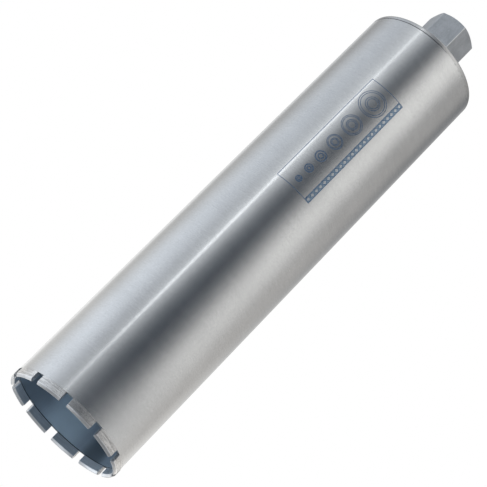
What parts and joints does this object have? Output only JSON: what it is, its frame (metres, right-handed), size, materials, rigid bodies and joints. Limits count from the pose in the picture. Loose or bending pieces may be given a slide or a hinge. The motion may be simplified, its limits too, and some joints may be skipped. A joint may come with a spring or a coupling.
{
  "type": "diamond core bit",
  "caption": "Thin steel barrel with diamond segments on its rim, closed by a plate with a threaded hexagonal drive hub, for wet core drilling.",
  "frame": {"origin": "on the bit's axis, in the plane of the cutting faces that it stands on", "axes": "+Z along the axis, from the cutting faces towards the drive hub; +X square to a flat of the hub; a gap between two segments faces 1.4 degrees from -Y, towards +X"},
  "size_m": [0.112, 0.112, 0.506],
  "materials": {
    "barrel_steel": "ground round the barrel, satin",
    "plate_steel": "turned, satin",
    "hub_steel": "drawn bar with turned ends, dull",
    "weld_metal": "rippled weld bead",
    "segment_metal": "sintered and ground, grainy"
  },
  "bodies": {
    "root": {"barrel": "barrel_steel", "end_plate": "plate_steel", "drive_hub": "hub_steel", "hub_weld": "weld_metal", "segment_01": "segment_metal", "segment_02": "segment_metal", "segment_03": "segment_metal", "segment_04": "segment_metal", "segment_05": "segment_metal", "segment_06": "segment_metal", "segment_07": "segment_metal", "segment_08": "segment_metal", "segment_09": "segment_metal", "segment_10": "segment_metal", "segment_11": "segment_metal"}
  },
  "joints": []
}
